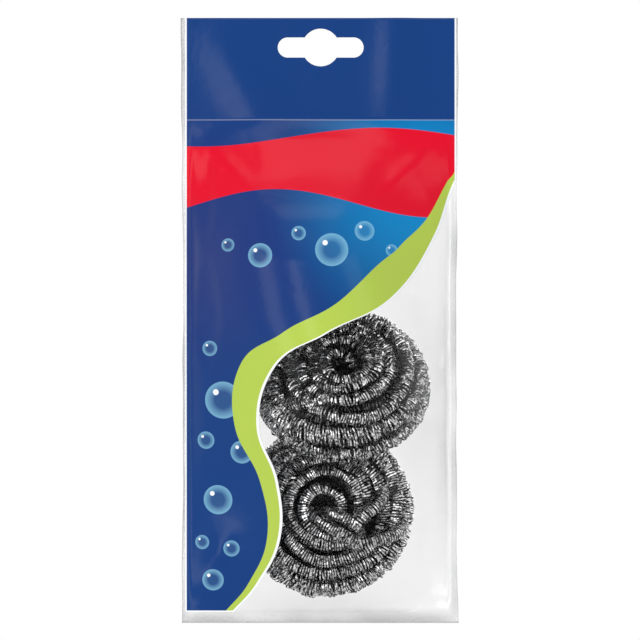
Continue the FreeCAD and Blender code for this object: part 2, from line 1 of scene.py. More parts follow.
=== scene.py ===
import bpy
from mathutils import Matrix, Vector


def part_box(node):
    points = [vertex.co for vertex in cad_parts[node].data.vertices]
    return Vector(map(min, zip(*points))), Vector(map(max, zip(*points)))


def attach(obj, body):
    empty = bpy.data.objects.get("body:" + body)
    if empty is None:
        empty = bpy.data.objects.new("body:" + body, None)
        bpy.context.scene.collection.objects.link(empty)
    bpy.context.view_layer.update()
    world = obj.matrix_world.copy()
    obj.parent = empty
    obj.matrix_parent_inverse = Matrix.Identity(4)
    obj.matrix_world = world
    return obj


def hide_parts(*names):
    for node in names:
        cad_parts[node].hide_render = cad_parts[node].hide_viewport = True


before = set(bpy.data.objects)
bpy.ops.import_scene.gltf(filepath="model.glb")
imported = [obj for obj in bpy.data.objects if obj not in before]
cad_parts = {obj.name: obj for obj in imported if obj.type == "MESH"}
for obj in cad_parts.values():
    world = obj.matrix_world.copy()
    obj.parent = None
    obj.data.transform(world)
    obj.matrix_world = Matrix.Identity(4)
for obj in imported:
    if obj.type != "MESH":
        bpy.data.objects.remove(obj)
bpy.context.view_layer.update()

import math

import bmesh
import bpy
import numpy as np
from mathutils import Matrix, Vector, noise
from mathutils.bvhtree import BVHTree


# Scrubbers: outer turns
# Each is one long strand of bright stainless tape, curled like a close spring and wound in a spiral
# from one eye, over the crown, round the rim and in again to the other eye, where its ends are tucked in.

SCRUBBERS = ("lower", "middle", "upper")
LEAN_DEGREES = {"lower": 8, "middle": 40, "upper": 38}
ROLL_DEGREES = {"lower": 150, "middle": 20, "upper": 250}
SEEDS = {"lower": 3, "middle": 5, "upper": 8}

RIM_RADIUS = 0.013
CROWN_RISE = 0.004
STRAND_RADIUS = 0.0025

turns_low, turns_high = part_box("lower_outer_turns")
half_wide = (turns_high.x - turns_low.x) / 2
half_thick = RIM_RADIUS + CROWN_RISE
rim_centre = half_wide - RIM_RADIUS
crown_radius = (rim_centre**2 + half_thick**2 - RIM_RADIUS**2) / (2 * CROWN_RISE)
crown_drop = crown_radius - half_thick
crown_angle = math.atan2(rim_centre, crown_drop)


def outline_length(inset):
    """Length of the scrubber's half section from pole to pole, drawn inside the outer one by inset."""
    return 2 * (crown_radius - inset) * crown_angle + (RIM_RADIUS - inset) * (math.pi - 2 * crown_angle)


def on_ball(along, angle, inset):
    """Points that far along the half section from the front pole and that far round, their normals, and
    how near the rim they are, from 0 on the crown to 1."""
    total = outline_length(inset)
    crown = (crown_radius - inset) * crown_angle
    near = np.minimum(along, total - along)
    side = np.where(along < total / 2, 1, -1)
    on_crown = near < crown
    reach = np.where(on_crown, crown_radius - inset, RIM_RADIUS - inset)
    lean = np.where(on_crown, near / reach, crown_angle + (near - crown) / reach)
    radius = np.where(on_crown, 0, rim_centre) + reach * np.sin(lean)
    height = side * (np.where(on_crown, -crown_drop, 0) + reach * np.cos(lean))
    points = np.stack([radius * np.cos(angle), radius * np.sin(angle), height], 1)
    normals = np.stack([np.sin(lean) * np.cos(angle), np.sin(lean) * np.sin(angle), side * np.cos(lean)], 1)
    return points, normals, np.clip((lean - crown_angle) / (math.pi / 2 - crown_angle), 0, 1)


def distances(points):
    """How far along a line each of its points is."""
    return np.concatenate([[0], np.cumsum(np.linalg.norm(np.diff(points, axis=0), axis=1))])


def unit(rows):
    """Vectors made one long."""
    return rows / np.linalg.norm(rows, axis=1)[:, None]


def wavy(places, length, rng):
    """Smooth random values between -1 and 1 along a line, with about one swing in each length."""
    share = (places - places.min()) / length
    values = rng.uniform(-1, 1, int(share.max()) + 2)
    low = share.astype(int)
    blend = share - low
    blend = blend * blend * (3 - 2 * blend)
    return values[low] * (1 - blend) + values[low + 1] * blend


# The lower scrubber's front has a hollow where the strand has sunk in: across, up, its reach and depth.
HOLLOWS = {"lower": (0.0155, -0.0055, 0.0065, 0.0050)}
NO_HOLLOW = (0, 0, 1, 0)


def hollow_depth(scrubber, points):
    """How far a scrubber's strand has sunk into the hollow of its front."""
    across, up, reach, depth = HOLLOWS.get(scrubber, NO_HOLLOW)
    roll = math.radians(ROLL_DEGREES[scrubber])
    x = points[:, 0] * math.cos(roll) - points[:, 1] * math.sin(roll) - across
    z = points[:, 0] * math.sin(roll) + points[:, 1] * math.cos(roll) - up
    return np.where(points[:, 2] > 0, depth * np.exp(-(x * x + z * z) / reach**2), 0)


TURN_SPACING = 0.0052
ROUTE_STEP = 0.0008
EYE_RADIUS = 0.0034
TUCK_DEPTH = 0.006
TUCK_LENGTH = 0.014
LONG_WANDER = 0.0019
LONG_WANDER_LENGTH = 0.034
SHORT_WANDER = 0.0008
SHORT_WANDER_LENGTH = 0.013
SINK = 0.0014
SINK_POWER = 1.5
RIM_HOLD_SHARE = 0.6
CROWN_MESS = {"lower": 0.4, "middle": 0.9, "upper": 0.9}
RIM_MESS = 1.5


def winding(scrubber, inset, rng):
    """Route of a strand wound over the ball from eye to eye: its points, normals and how unruly it is."""
    start = (crown_radius - inset) * math.asin(EYE_RADIUS / (crown_radius - inset))
    room = outline_length(inset) - 2 * start
    turns = room / TURN_SPACING
    angle = np.linspace(0, 2 * math.pi * turns, int(turns * 2 * math.pi * rim_centre / ROUTE_STEP))
    points, normals, rim = on_ball(start + TURN_SPACING * angle / (2 * math.pi), angle, inset)
    travelled = distances(points)
    to_end = np.minimum(travelled, travelled[-1] - travelled)
    dip = np.clip(1 - to_end / TUCK_LENGTH, 0, 1) ** 2 * TUCK_DEPTH
    sideways = unit(np.cross(np.gradient(points, axis=0), normals))
    aside = LONG_WANDER * wavy(travelled, LONG_WANDER_LENGTH, rng)
    aside += SHORT_WANDER * wavy(travelled, SHORT_WANDER_LENGTH, rng)
    slack = np.abs(wavy(travelled, LONG_WANDER_LENGTH, rng)) ** SINK_POWER
    sunk = dip + SINK * slack * (1 - RIM_HOLD_SHARE * rim)
    sunk += hollow_depth(scrubber, points)
    points = points + sideways * aside[:, None] - normals * sunk[:, None]
    return points, normals, CROWN_MESS[scrubber] + (RIM_MESS - CROWN_MESS[scrubber]) * rim


CROSSINGS = 7
CROSSING_STARTS = (0.24, 0.76)
CROSSING_TURN = (0.5, 1.1)
CROSSING_SHIFT = 0.16
CROSSING_SINK = 0.006
CROSSING_RISE = 0.0007
CROSSING_POINTS = 60


def crossing(rng):
    """Route of a stretch that has slipped out of its turn: it rises, lies across others and sinks again."""
    total = outline_length(STRAND_RADIUS)
    share = np.linspace(0, 1, CROSSING_POINTS)
    along = total * (rng.uniform(*CROSSING_STARTS) + CROSSING_SHIFT * rng.uniform(-1, 1) * share)
    angle = rng.uniform(0, 2 * math.pi) + rng.uniform(*CROSSING_TURN) * share
    points, normals, _ = on_ball(along, angle, STRAND_RADIUS)
    lift = CROSSING_RISE - CROSSING_SINK * (1 - np.sin(math.pi * share)) ** 2
    return points + normals * lift[:, None], normals, np.ones(CROSSING_POINTS)


# Stretches that lie loose on the lower scrubber's front, round its hollow: each place is across, up and
# out from the turns, as seen from the front. They come up from between the turns and go down again.
LOOSE_STRETCHES = (
    (
        (-0.0085, 0.0000, -0.0030), (-0.0020, -0.0050, 0.0024), (0.0040, -0.0088, 0.0034),
        (0.0086, -0.0116, 0.0034), (0.0110, -0.0134, 0.0016), (0.0100, -0.0156, -0.0030),
    ),
    (
        (-0.0010, -0.0020, -0.0030), (0.0038, -0.0030, 0.0026), (0.0092, -0.0062, 0.0034),
        (0.0118, -0.0090, 0.0010), (0.0120, -0.0120, -0.0030),
    ),
    (
        (0.0092, -0.0108, -0.0030), (0.0106, -0.0066, 0.0030), (0.0136, -0.0030, 0.0046),
        (0.0170, 0.0000, 0.0042), (0.0198, 0.0036, 0.0028), (0.0222, 0.0084, -0.0030),
    ),
    (
        (0.0068, -0.0146, -0.0030), (0.0116, -0.0132, 0.0026), (0.0178, -0.0116, 0.0034),
        (0.0240, -0.0094, 0.0026), (0.0288, -0.0056, 0.0004), (0.0306, -0.0010, -0.0040),
    ),
)
LOOSE_MESS = 0.35
LOOSE_POINTS = 160
SHORT_OF_END = 0.001


def loose_stretch(knots, roll):
    """Route of a stretch that lies loose on the crown, smoothly through its places."""
    knots = np.array(knots)
    last = len(knots) - 1
    share = np.linspace(0, last - SHORT_OF_END, LOOSE_POINTS)
    low = share.astype(int)
    part = (share - low)[:, None]
    before, here = knots[np.maximum(low - 1, 0)], knots[low]
    there, after = knots[low + 1], knots[np.minimum(low + 2, last)]
    bend = (2 * before - 5 * here + 4 * there - after) * part**2
    bend += (3 * here - before - 3 * there + after) * part**3
    places = here + ((there - before) * part + bend) / 2
    radius = np.hypot(places[:, 0], places[:, 1])
    reach = crown_radius - STRAND_RADIUS
    angle = np.arctan2(places[:, 1], places[:, 0]) - roll
    points, normals, _ = on_ball(reach * np.arcsin(radius / reach), angle, STRAND_RADIUS)
    return points + normals * places[:, 2:], normals, np.full(len(places), LOOSE_MESS)


CURL_PITCH = 0.00092
CURL_SIDES = 10
TAPE_WIDTH = 0.0005
TAPE_THICKNESS = 0.00008
TAPE_CORNERS = 4
MERGE_DISTANCE = TAPE_THICKNESS / 8
FIRST_CURLS = 16


def straight_spring(curls, pitch, sides):
    """A straight spring of flat tape along X: a short stretch is spun, then doubled end to end. Its tape's
    inner side has the second material, painted dark as the shade inside each curl."""
    doublings = max(0, int(math.log2(curls / FIRST_CURLS)))
    stretch = math.ceil(curls / 2**doublings)
    spring = bmesh.new()
    bmesh.ops.create_grid(spring, x_segments=1, y_segments=1, size=0.5)
    shape = Matrix.Translation((0, 0, STRAND_RADIUS)) @ Matrix.Rotation(math.pi / 2, 4, "X")
    shape = shape @ Matrix.Diagonal((TAPE_WIDTH, TAPE_THICKNESS, 1, 1))
    bmesh.ops.transform(spring, verts=spring.verts, matrix=shape)
    bmesh.ops.delete(spring, geom=spring.faces[:], context="FACES_ONLY")
    bmesh.ops.spin(
        spring,
        geom=spring.verts[:] + spring.edges[:],
        cent=(0, 0, 0),
        axis=(1, 0, 0),
        dvec=(pitch / sides, 0, 0),
        angle=2 * math.pi * stretch,
        steps=stretch * sides,
    )
    for doubling in range(doublings):
        copy = bmesh.ops.duplicate(spring, geom=spring.verts[:] + spring.edges[:] + spring.faces[:])
        verts = [part for part in copy["geom"] if isinstance(part, bmesh.types.BMVert)]
        bmesh.ops.translate(spring, vec=(stretch * pitch * 2**doubling, 0, 0), verts=verts)
    bmesh.ops.remove_doubles(spring, verts=spring.verts, dist=MERGE_DISTANCE)
    bmesh.ops.holes_fill(spring, edges=spring.edges, sides=TAPE_CORNERS)
    bmesh.ops.recalc_face_normals(spring, faces=spring.faces)
    for face in spring.faces:
        middle = face.calc_center_median()
        outward = face.normal.y * middle.y + face.normal.z * middle.z
        # Faces on the inside of the curl get the second material: painted shade.
        face.material_index = int(outward < -STRAND_RADIUS / 2)
    return spring, stretch * 2**doublings


# How unevenly curls lie where the mess is 1: how far each change goes, and over how many curls it swings.
TWIST = 0.7
TWIST_CURLS = 1.3
SWELL = 0.12
SWELL_CURLS = 1.1
LONG_SWELL = 0.08
LONG_SWELL_CURLS = 14
STRAY = 1.1
STRAY_CURLS = 2.3
STRAY_FROM = 0.74
SLEW = 0.9
SLEW_CURLS = 6
TIP = 1.2
TIP_CURLS = 1.7
TIP_TURN = 3
TIP_TURN_CURLS = 9
CURL_ROOM = 0.0009


def lay_spring(points, normals, unruly, pitch, sides, rng):
    """A straight spring laid along a route, with each curl a little different from the next."""
    travelled = distances(points)
    spring, curls = straight_spring(travelled[-1] / pitch, pitch, sides)
    mesh = bpy.data.meshes.new("strand")
    spring.to_mesh(mesh)
    spring.free()
    flat = np.empty(len(mesh.vertices) * 3)
    mesh.vertices.foreach_get("co", flat)
    flat = flat.reshape(-1, 3)
    turn = -np.arctan2(flat[:, 1], flat[:, 2]) / (2 * math.pi)
    along = (turn + np.round(flat[:, 0] / pitch - turn)) * pitch

    def uneven(swing_curls):
        return wavy(along, swing_curls * pitch, rng)

    place = np.clip(along / (curls * pitch), 0, 1) * travelled[-1]
    mess = np.interp(place, travelled, unruly)
    lift = np.hypot(flat[:, 1], flat[:, 2]) - STRAND_RADIUS
    shift = flat[:, 0] - along
    twist = mess * TWIST * uneven(TWIST_CURLS)
    size = 1 + mess * (SWELL * uneven(SWELL_CURLS) + LONG_SWELL * uneven(LONG_SWELL_CURLS))
    stray = np.clip(uneven(STRAY_CURLS) - STRAY_FROM, 0, None) * STRAY * mess
    reach = np.minimum(STRAND_RADIUS * (size + stray), STRAND_RADIUS + CURL_ROOM)
    reach = reach + lift * np.cos(twist) - shift * np.sin(twist)
    angle = 2 * math.pi * turn + SLEW * mess * uneven(SLEW_CURLS)
    tip = mess * TIP * pitch * uneven(TIP_CURLS)
    place = place + lift * np.sin(twist) + shift * np.cos(twist)
    place = place + tip * np.cos(angle + TIP_TURN * uneven(TIP_TURN_CURLS))
    headings = unit(np.gradient(points, travelled, axis=0))
    crosses = unit(np.cross(headings, normals))
    normals = np.cross(crosses, headings)

    def at(rows):
        return np.stack([np.interp(place, travelled, rows[:, axis]) for axis in range(3)], 1)

    past = np.clip(place - travelled[-1], 0, None) + np.clip(place, None, 0)
    wound = at(points) + at(headings) * past[:, None]
    wound += at(normals) * (reach * np.cos(angle))[:, None] + at(crosses) * (reach * np.sin(angle))[:, None]
    mesh.vertices.foreach_set("co", wound.ravel())
    return mesh


def joined(name, meshes):
    """One mesh from several, which are used up."""
    whole = bmesh.new()
    for mesh in meshes:
        whole.from_mesh(mesh)
        bpy.data.meshes.remove(mesh)
    mesh = bpy.data.meshes.new(name)
    whole.to_mesh(mesh)
    whole.free()
    return mesh


def scrubber_place(scrubber):
    """Where a scrubber lies: its inner layers' middle, leant back, and rolled about its own axis."""
    low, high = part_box(f"{scrubber}_inner_layers")
    lean = Matrix.Rotation(math.radians(90 - LEAN_DEGREES[scrubber]), 4, "X")
    roll = Matrix.Rotation(math.radians(ROLL_DEGREES[scrubber]), 4, "Z")
    return Matrix.Translation((low + high) / 2) @ lean @ roll


def new_piece(name, mesh):
    """An object at the origin for a finished mesh."""
    piece = bpy.data.objects.new(name, mesh)
    bpy.context.scene.collection.objects.link(piece)
    return piece


def add_node(tree, kind, inputs=None, **settings):
    """A shader node with its settings, and its inputs set or linked."""
    node = tree.nodes.new(f"ShaderNode{kind}")
    for name, value in settings.items():
        setattr(node, name, value)
    for socket, value in (inputs or {}).items():
        if isinstance(value, bpy.types.NodeSocket):
            tree.links.new(value, node.inputs[socket])
        else:
            node.inputs[socket].default_value = value
    return node


def new_material(name):
    """A material, its node tree and its Principled shader."""
    material = bpy.data.materials.new(name)
    material.use_nodes = True
    return material, material.node_tree, material.node_tree.nodes["Principled BSDF"]


PATCH_SCALE = 900.0
PATCH_DETAIL = 3.0
DARK_UNTIL = 0.4
LIGHT_FROM = 0.62
DARK_BLUE_SHARE = 1.02
LIGHT_BLUE_SHARE = 1.01
PATCH_ROUGHNESS = 0.2
# Each steel: how light its dark and its bright patches are, and how rough it is at least.
BRIGHT_STEEL = (0.045, 0.66, 0.14)
# The tape's inner side: painted shade, nearly black, inside each curl.
TAPE_INSIDE_PAINTED_SHADE = (0.006, 0.05, 0.35)


def steel_tape(name, dark, light, roughness):
    """Stainless tape: bright where it was rolled smooth, dark and dull in small patches."""
    material, tree, shader = new_material(name)
    place = add_node(tree, "TexCoord").outputs["Object"]
    patches = add_node(tree, "TexNoise", {"Vector": place, "Scale": PATCH_SCALE, "Detail": PATCH_DETAIL})
    tones = add_node(tree, "ValToRGB", {"Fac": patches.outputs["Fac"]})
    first, last = tones.color_ramp.elements
    first.position = DARK_UNTIL
    first.color = (dark, dark, dark * DARK_BLUE_SHARE, 1)
    last.position = LIGHT_FROM
    last.color = (light, light, light * LIGHT_BLUE_SHARE, 1)
    tree.links.new(tones.outputs["Color"], shader.inputs["Base Color"])
    dull = add_node(tree, "MapRange", {
        "Value": patches.outputs["Fac"], "To Min": roughness, "To Max": roughness + PATCH_ROUGHNESS,
    })
    tree.links.new(dull.outputs["Result"], shader.inputs["Roughness"])
    shader.inputs["Metallic"].default_value = 1.0
    return material


bright_steel = steel_tape("bright_steel", *BRIGHT_STEEL)
tape_inside_painted_shade = steel_tape("tape_inside_painted_shade", *TAPE_INSIDE_PAINTED_SHADE)
for scrubber in SCRUBBERS:
    rng = np.random.default_rng(SEEDS[scrubber])
    routes = [winding(scrubber, STRAND_RADIUS, rng)] + [crossing(rng) for _ in range(CROSSINGS)]
    if scrubber == "lower":
        routes += [loose_stretch(knots, math.radians(ROLL_DEGREES[scrubber])) for knots in LOOSE_STRETCHES]
    springs = [lay_spring(*route, CURL_PITCH, CURL_SIDES, rng) for route in routes]
    mesh = joined(f"{scrubber}_strand", springs)
    mesh.transform(scrubber_place(scrubber))
    mesh.materials.append(bright_steel)
    mesh.materials.append(tape_inside_painted_shade)
    strand = new_piece(f"{scrubber}_strand", mesh)
    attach(strand, f"{scrubber}_scrubber")
    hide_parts(f"{scrubber}_outer_turns")


# Scrubbers: inner layers
# The same strand goes on winding inside, packed so close that little light gets in. One more layer of
# its curled tape is laid under the outer turns, round a ball that stands for the rest.

LAYER_INSET = 0.0072
LAYER_PITCH = 0.0012
LAYER_SIDES = 8
LAYER_SEED_STEP = 40
CORE_INSET = 0.0082
CORE_SEGMENTS = 64
CORE_RINGS = 40
# Painted shade deep in the ball: the layer's steel is painted darker, and the ball and the layer's inner
# side nearly black.
SHADED_STEEL = (0.02, 0.13, 0.3)
DEEP_STEEL_PAINTED_SHADE = (0.004, 0.02, 0.5)

shaded_steel = steel_tape("shaded_steel", *SHADED_STEEL)
deep_steel_painted_shade = steel_tape("deep_steel_painted_shade", *DEEP_STEEL_PAINTED_SHADE)
for scrubber in SCRUBBERS:
    rng = np.random.default_rng(SEEDS[scrubber] + LAYER_SEED_STEP)
    layer = lay_spring(*winding(scrubber, LAYER_INSET, rng), LAYER_PITCH, LAYER_SIDES, rng)
    core = bmesh.new()
    core.from_mesh(layer)
    bpy.data.meshes.remove(layer)
    ball = bmesh.ops.create_uvsphere(core, u_segments=CORE_SEGMENTS, v_segments=CORE_RINGS, radius=1)
    for vert in ball["verts"]:
        along = math.acos(max(-1, min(1, vert.co.z))) / math.pi * outline_length(CORE_INSET)
        angle = math.atan2(vert.co.y, vert.co.x)
        vert.co = on_ball(np.array([along]), np.array([angle]), CORE_INSET)[0][0]
        for face in vert.link_faces:
            # The ball gets the nearly black steel: painted shade.
            face.material_index = 1
            face.smooth = True
    mesh = bpy.data.meshes.new(f"{scrubber}_inside")
    core.to_mesh(mesh)
    core.free()
    mesh.transform(scrubber_place(scrubber))
    mesh.materials.append(shaded_steel)
    mesh.materials.append(deep_steel_painted_shade)
    inside = new_piece(f"{scrubber}_inside", mesh)
    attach(inside, f"{scrubber}_scrubber")
    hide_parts(f"{scrubber}_inner_layers")


# Back film
# The rear sheet of the bag: thin clear plastic, welded flat to the front sheet along the sides, the bottom
# and the whole header, and pushed out in between by the scrubbers. Creases run in from the welds.

HEADER_FOOT = -0.027
SIDE_WELD = 0.003
BOTTOM_WELD = 0.004

bag_low, bag_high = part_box("back_film")
bag_middle = (bag_low.z + bag_high.z) / 2


def fold_height(x, z, folds):
    """How far a film stands out at a place through its folds, each a soft ridge that fades at both ends."""
    height = 0
    for x0, z0, x1, z1, width, rise in folds:
        along = Vector((x1 - x0, z1 - z0))
        place = Vector((x - x0, z - z0))
        share = place.dot(along) / along.length_squared
        if 0 < share < 1:
            off = (place.x * along.y - place.y * along.x) / along.length / width
            height += rise * math.sin(math.pi * share) * math.exp(-off * off)
    return height


def dent_depth(x, z, dents):
    """How far the film is pressed in at a place by its dents, each an oval with a soft floor."""
    depth = 0
    for x0, z0, half_x, half_z, sink in dents:
        off = ((x - x0) / half_x) ** 2 + ((z - z0) / half_z) ** 2
        if off < 1:
            depth += sink * (1 - off) ** 2 * (1 + 2 * off)
    return depth


RIPPLE = 0.0005
RIPPLE_LENGTH = 0.045
RIPPLE_ROW = 3.7
# Each fold: where it starts and ends across and up the bag, its half width and how far it stands out.
HEADER_FOLDS = (
    (-0.0425, 0.010, -0.009, -0.048, 0.0090, 0.0016),
    (0.0300, 0.034, 0.0262, -0.040, 0.0075, 0.0014),
)


def weld_ripple(x, z):
    """How far both films lie behind their flat plane: long soft waves, less the folds of the header."""
    wave = noise.noise(Vector((x / RIPPLE_LENGTH, RIPPLE_ROW, z / RIPPLE_LENGTH)))
    return RIPPLE * wave - fold_height(x, z, HEADER_FOLDS)


EDGE_PULL = 0.0007
EDGE_PULL_POWER = 0.7
RIGHT_TRIM = 0.0008
EDGE_WAVE = 0.0005
EDGE_WAVE_LENGTH = 0.02
EDGE_ROW = 1.3
EDGES_APART = 8


def edge_draw(x, z):
    """How far a side edge is drawn in: the full pouch pulls its sides together, a little unevenly."""
    share = (HEADER_FOOT - z) / (HEADER_FOOT - bag_low.z)
    pull = EDGE_PULL * math.sin(math.pi * min(1, max(0, share))) ** EDGE_PULL_POWER
    pull += RIGHT_TRIM if x > 0 else 0
    place = Vector((math.copysign(EDGES_APART, x), EDGE_ROW, z / EDGE_WAVE_LENGTH))
    return pull + EDGE_WAVE * noise.noise(place)


PUCKER = 0.0007
PUCKER_LENGTH = 0.006
PUCKER_REACH = 0.011
PUCKER_SIDES_APART = 5
PUCKER_TOP_ROW = 9
PUCKER_FOOT_ROW = 21


def pucker(x, z, seed):
    """Small gathers that run in from the welds and die out over the pouch."""
    from_side = bag_high.x - SIDE_WELD - abs(x)
    from_top = HEADER_FOOT - z
    from_foot = z - bag_low.z - BOTTOM_WELD
    sideways = noise.noise(Vector((seed, math.copysign(PUCKER_SIDES_APART, x), z / PUCKER_LENGTH)))
    upright = noise.noise(Vector((x / PUCKER_LENGTH, seed, PUCKER_TOP_ROW)))
    level = noise.noise(Vector((x / PUCKER_LENGTH, seed, PUCKER_FOOT_ROW)))
    gathers = sideways * math.exp(-from_side / PUCKER_REACH)
    gathers += upright * math.exp(-from_top / PUCKER_REACH) + level * math.exp(-from_foot / PUCKER_REACH)
    return PUCKER * gathers


def apply_modifiers(piece):
    """Leaves the piece with the mesh that its modifiers make."""
    seen = piece.evaluated_get(bpy.context.evaluated_depsgraph_get())
    made = bpy.data.meshes.new_from_object(seen)
    piece.modifiers.clear()
    piece.data = made


SLOT_WIDTH = 0.032
SLOT_ARM_HEIGHT = 0.0075
SLOT_EYE_DIAMETER = 0.014
SLOT_SIDES = 64
PUNCH_LENGTH = 0.02
# Each punch: its radius, and how far its two halves are drawn apart.
SLOT_PUNCHES = (
    (SLOT_ARM_HEIGHT / 2, (SLOT_WIDTH - SLOT_ARM_HEIGHT) / 2),
    (SLOT_EYE_DIAMETER / 2, 0),
)


def punch_slot(piece):
    """Cuts the peg slot through a sheet: a round-ended slot, then the round eye in its middle."""
    for radius, reach in SLOT_PUNCHES:
        punch = bmesh.new()
        bmesh.ops.create_circle(punch, cap_ends=True, segments=SLOT_SIDES, radius=radius)
        for vert in punch.verts:
            vert.co.x += math.copysign(reach, vert.co.x)
        grown = bmesh.ops.extrude_face_region(punch, geom=punch.faces[:])
        top = [part for part in grown["geom"] if isinstance(part, bmesh.types.BMVert)]
        bmesh.ops.translate(punch, verts=top, vec=(0, 0, PUNCH_LENGTH))
        lay = Matrix.Rotation(math.pi / 2, 4, "X") @ Matrix.Translation((0, 0, -PUNCH_LENGTH / 2))
        bmesh.ops.transform(punch, verts=punch.verts, matrix=lay)
        bmesh.ops.recalc_face_normals(punch, faces=punch.faces)
        mesh = bpy.data.meshes.new("punch")
        punch.to_mesh(mesh)
        punch.free()
        tool = new_piece("punch", mesh)
        cut = piece.modifiers.new("slot", "BOOLEAN")
        cut.object = tool
        cut.solver = "EXACT"
        apply_modifiers(piece)
        bpy.data.objects.remove(tool)


FILM_THICKNESS = 0.00012
FILM_CELL = 0.001
FILM_PROUD = 0.0010
FULL_DEPTH = 0.005
WELD_PLANE = 0.00014
LOOK_FROM = 0.2
SMOOTHING_ROUNDS = 24
SMOOTHING = 0.5


def film_sheet(name, node, side, folds, dents, seed, outer, inner):
    """One sheet draped on its CAD solid's outer face: a thin closed shell with folds and the peg slot."""
    solid = bmesh.new()
    solid.from_mesh(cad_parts[node].data)
    form = BVHTree.FromBMesh(solid)
    solid.free()
    width = bag_high.x - bag_low.x
    height = bag_high.z - bag_low.z
    columns = round(width / FILM_CELL)
    rows = round(height / FILM_CELL)
    sheet = bmesh.new()
    bmesh.ops.create_grid(sheet, x_segments=columns, y_segments=rows, size=0.5)
    stand = Matrix.Translation((0, 0, bag_middle)) @ Matrix.Rotation(math.pi / 2, 4, "X")
    bmesh.ops.transform(sheet, verts=sheet.verts, matrix=stand @ Matrix.Diagonal((width, height, 1, 1)))
    if side > 0:
        bmesh.ops.reverse_faces(sheet, faces=sheet.faces)
    pouch = []
    for vert in sheet.verts:
        in_width = abs(vert.co.x) < bag_high.x - SIDE_WELD
        if in_width and bag_low.z + BOTTOM_WELD < vert.co.z < HEADER_FOOT:
            start = Vector((vert.co.x, side * LOOK_FROM, vert.co.z))
            vert.co.y = form.ray_cast(start, Vector((0, -side, 0)))[0].y
            pouch.append(vert)
        else:
            vert.co.y = side * WELD_PLANE
    for _ in range(SMOOTHING_ROUNDS):
        bmesh.ops.smooth_vert(sheet, verts=pouch, factor=SMOOTHING, use_axis_y=True)
    for vert in pouch:
        x, z = vert.co.x, vert.co.z
        loose = min(1, abs(vert.co.y) / FULL_DEPTH)
        shape = fold_height(x, z, folds) - dent_depth(x, z, dents) + pucker(x, z, seed)
        vert.co.y += side * loose * (FILM_PROUD + shape)
    for vert in sheet.verts:
        x, z = vert.co.x, vert.co.z
        vert.co.y += weld_ripple(x, z)
        vert.co.x -= x / bag_high.x * edge_draw(x, z)
    for face in sheet.faces:
        face.smooth = True
    mesh = bpy.data.meshes.new(name)
    sheet.to_mesh(mesh)
    sheet.free()
    mesh.materials.append(outer)
    mesh.materials.append(inner)
    piece = new_piece(name, mesh)
    wall = piece.modifiers.new("wall", "SOLIDIFY")
    wall.thickness = FILM_THICKNESS
    wall.offset = -1
    wall.material_offset = 1
    apply_modifiers(piece)
    punch_slot(piece)
    return piece


def calc(tree, operation, *values, clamp=False):
    """The output of a Math node."""
    return add_node(tree, "Math", dict(enumerate(values)), operation=operation, use_clamp=clamp).outputs[0]


def fading(tree, distance, near, far, most):
    """A value that falls smoothly from its most, at a near distance, to nothing at a far one."""
    return add_node(tree, "MapRange", {
        "Value": distance, "From Min": near, "From Max": far, "To Min": most, "To Max": 0.0,
    }, interpolation_type="SMOOTHSTEP").outputs["Result"]


# How far in from the edges the milky weld and the painted edge shade reach.
WELD_AND_EDGE_SHADE_FADE = 0.0062
CUT_EDGE = 0.0004
CUT_SHARE = 0.8
CLOUD = {"Scale": 24.0, "Detail": 2.0}
CLOUD_CONTRAST = 3.0
CLOUD_SHIFT = -0.9
CRINKLE = {"Scale": 90.0, "Detail": 4.0, "Distortion": 0.6}
NOISE_MIDDLE = 0.5
RIB_PITCH = 0.0011
RIB_SHARE = 0.05
RUB = {"Scale": 260.0, "Detail": 5.0, "Roughness": 0.7}


def film_marks():
    """Marks of a handled film, for any of its faces: crinkles, rubs, its ribbed and milky welds, and
    painted shade greying the film towards its edges.
    """
    group = bpy.data.node_groups.new("film_marks", "ShaderNodeTree")
    group.interface.new_socket("Place", in_out="INPUT", socket_type="NodeSocketVector")
    for output in ("Height", "Rub", "Weld"):
        group.interface.new_socket(output, in_out="OUTPUT", socket_type="NodeSocketFloat")
    place = group.nodes.new("NodeGroupInput").outputs["Place"]
    ends = group.nodes.new("NodeGroupOutput")
    axes = add_node(group, "SeparateXYZ", {0: place})
    x, z = axes.outputs["X"], axes.outputs["Z"]
    from_side = calc(group, "SUBTRACT", bag_high.x, calc(group, "ABSOLUTE", x))
    from_edge = calc(group, "MINIMUM", from_side, calc(group, "SUBTRACT", z, bag_low.z))
    cloud = add_node(group, "TexNoise", {"Vector": place, **CLOUD}).outputs["Fac"]
    cloud = calc(group, "MULTIPLY_ADD", cloud, CLOUD_CONTRAST, CLOUD_SHIFT, clamp=True)
    # Milky welds, and painted shade: a blotchy grey that grows towards the edges, over the film beyond the
    # welds too.
    milky_weld_and_edge_shade = calc(group, "MULTIPLY", fading(group, from_edge, 0.0, WELD_AND_EDGE_SHADE_FADE, 1.0), cloud)
    cut = calc(group, "MULTIPLY", calc(group, "LESS_THAN", from_edge, CUT_EDGE), CUT_SHARE)
    group.links.new(calc(group, "MAXIMUM", milky_weld_and_edge_shade, cut), ends.inputs["Weld"])
    crinkle = add_node(group, "TexNoise", {"Vector": place, **CRINKLE}).outputs["Fac"]
    ridge = calc(group, "ABSOLUTE", calc(group, "SUBTRACT", crinkle, NOISE_MIDDLE))
    ribs = calc(group, "SINE", calc(group, "MULTIPLY", calc(group, "ADD", x, z), 2 * math.pi / RIB_PITCH))
    weld = calc(group, "LESS_THAN", from_edge, SIDE_WELD)
    pressed = calc(group, "MULTIPLY", calc(group, "MULTIPLY", ribs, weld), RIB_SHARE)
    group.links.new(calc(group, "ADD", ridge, pressed), ends.inputs["Height"])
    rub = add_node(group, "TexNoise", {"Vector": place, **RUB}).outputs["Fac"]
    group.links.new(rub, ends.inputs["Rub"])
    return group


marks_group = film_marks()
BUMP_STRENGTH = 0.5
BUMP_DEPTH = 0.0004


